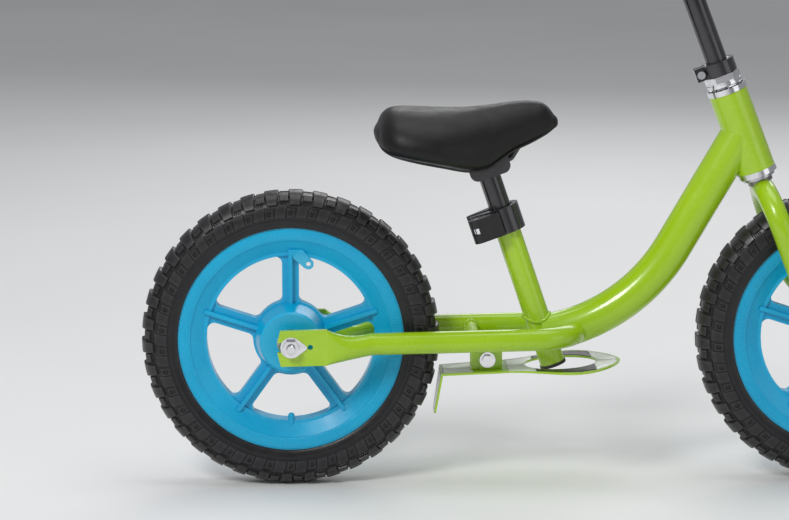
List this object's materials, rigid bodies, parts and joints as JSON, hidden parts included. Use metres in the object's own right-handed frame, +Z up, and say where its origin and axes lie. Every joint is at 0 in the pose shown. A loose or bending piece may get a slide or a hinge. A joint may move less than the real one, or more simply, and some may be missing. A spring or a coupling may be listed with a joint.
{
  "type": "balance bike",
  "caption": "Child's balance bike with a curved low frame, moulded five-spoke wheels, foam tyres, a padded saddle on a clamped post and a footplate.",
  "frame": {"origin": "on the ground under the middle of the wheelbase", "axes": "+X forwards, +Y to the bike's left, +Z up"},
  "size_m": [0.86, 0.4146, 0.5679],
  "materials": {
    "frame_paint": "gloss lime green powder coat",
    "footplate_paint": "lime green paint under a white and charcoal decal",
    "black_paint": "gloss black paint",
    "dark_steel": "plain steel tube",
    "chrome": "bright zinc or chrome plate",
    "bearing_steel": "ground steel",
    "tyre_foam": "moulded black foam tyre",
    "wheel_plastic": "moulded blue plastic",
    "black_plastic": "moulded black plastic",
    "saddle_vinyl": "soft black vinyl over foam",
    "grip_rubber": "soft black grip"
  },
  "bodies": {
    "frame": {"main_tube": "frame_paint", "head_tube": "frame_paint", "seat_tube": "frame_paint", "seat_tube_plug": "black_plastic", "stay_left": "frame_paint", "stay_right": "frame_paint", "stay_bridge": "frame_paint", "footplate_bracket": "frame_paint", "footplate": "footplate_paint", "footplate_bolt": "chrome", "footplate_washers": "chrome", "footplate_nut": "chrome", "headset_cups": "chrome", "rear_axle": "chrome", "rear_axle_cones": "bearing_steel", "rear_axle_nuts": "chrome", "rear_tab_washers": "chrome", "seat_clamp_collar": "black_paint", "seat_clamp_skewer": "chrome", "seat_clamp_nut": "black_plastic"},
    "rear_wheel": {"rear_tyre": "tyre_foam", "rear_wheel": "wheel_plastic", "rear_bearing_cups": "bearing_steel", "rear_bearing_balls": "bearing_steel"},
    "fork": {"fork_blade_left": "frame_paint", "fork_blade_right": "frame_paint", "steerer": "dark_steel", "crown_race": "bearing_steel", "headset_balls": "bearing_steel", "headset_top_race": "chrome", "headset_washer": "chrome", "headset_locknut": "chrome", "post_clamp": "black_paint", "post_clamp_bolt": "chrome", "post_clamp_nut": "chrome", "front_axle": "chrome", "front_axle_cones": "bearing_steel", "front_axle_nuts": "chrome", "front_tab_washers": "chrome"},
    "front_wheel": {"front_tyre": "tyre_foam", "front_wheel": "wheel_plastic", "front_bearing_cups": "bearing_steel", "front_bearing_balls": "bearing_steel"},
    "handlebar": {"handlebar_post": "black_paint", "bar_clamp_lower": "black_paint", "bar_clamp_cap": "black_paint", "bar_clamp_screws": "chrome", "handlebar": "black_paint", "grip_left": "grip_rubber", "grip_right": "grip_rubber"},
    "seat_post": {"seat_post": "black_paint", "seat_post_head": "black_paint"},
    "saddle": {"saddle_base": "black_plastic", "saddle_cover": "saddle_vinyl", "saddle_rails": "black_paint", "saddle_clip_plates": "black_paint", "saddle_clip_bolt": "black_paint", "saddle_clip_nut": "black_paint"},
    "clamp_lever": {"seat_clamp_lever": "black_plastic", "seat_clamp_pin": "chrome"}
  },
  "joints": [
    {"name": "rear_wheel_spin", "type": "hinge", "parent": "frame", "child": "rear_wheel", "pos_m": [-0.28, 0, 0.15], "axis": [0, 1, 0], "continuous": true},
    {"name": "steering", "type": "hinge", "parent": "frame", "child": "fork", "pos_m": [0.17333, 0, 0.35756], "axis": [-0.3584, 0, 0.9336], "range_deg": [-90, 90]},
    {"name": "front_wheel_spin", "type": "hinge", "parent": "fork", "child": "front_wheel", "pos_m": [0.28, 0, 0.15], "axis": [0, 1, 0], "continuous": true},
    {"name": "handlebar_height", "type": "slide", "parent": "fork", "child": "handlebar", "axis": [-0.3584, 0, 0.9336], "range_m": [-0.02, 0.04]},
    {"name": "seat_post_height", "type": "slide", "parent": "frame", "child": "seat_post", "axis": [-0.3223, 0, 0.9466], "range_m": [-0.025, 0.06]},
    {"name": "saddle_tilt", "type": "hinge", "parent": "seat_post", "child": "saddle", "pos_m": [-0.08371, 0, 0.3234], "axis": [0, 1, 0], "range_deg": [-10, 10]},
    {"name": "clamp_lever_swing", "type": "hinge", "parent": "frame", "child": "clamp_lever", "pos_m": [-0.0909, -0.0195, 0.26074], "axis": [0.3223, 0, -0.9466], "range_deg": [0, 150]}
  ]
}
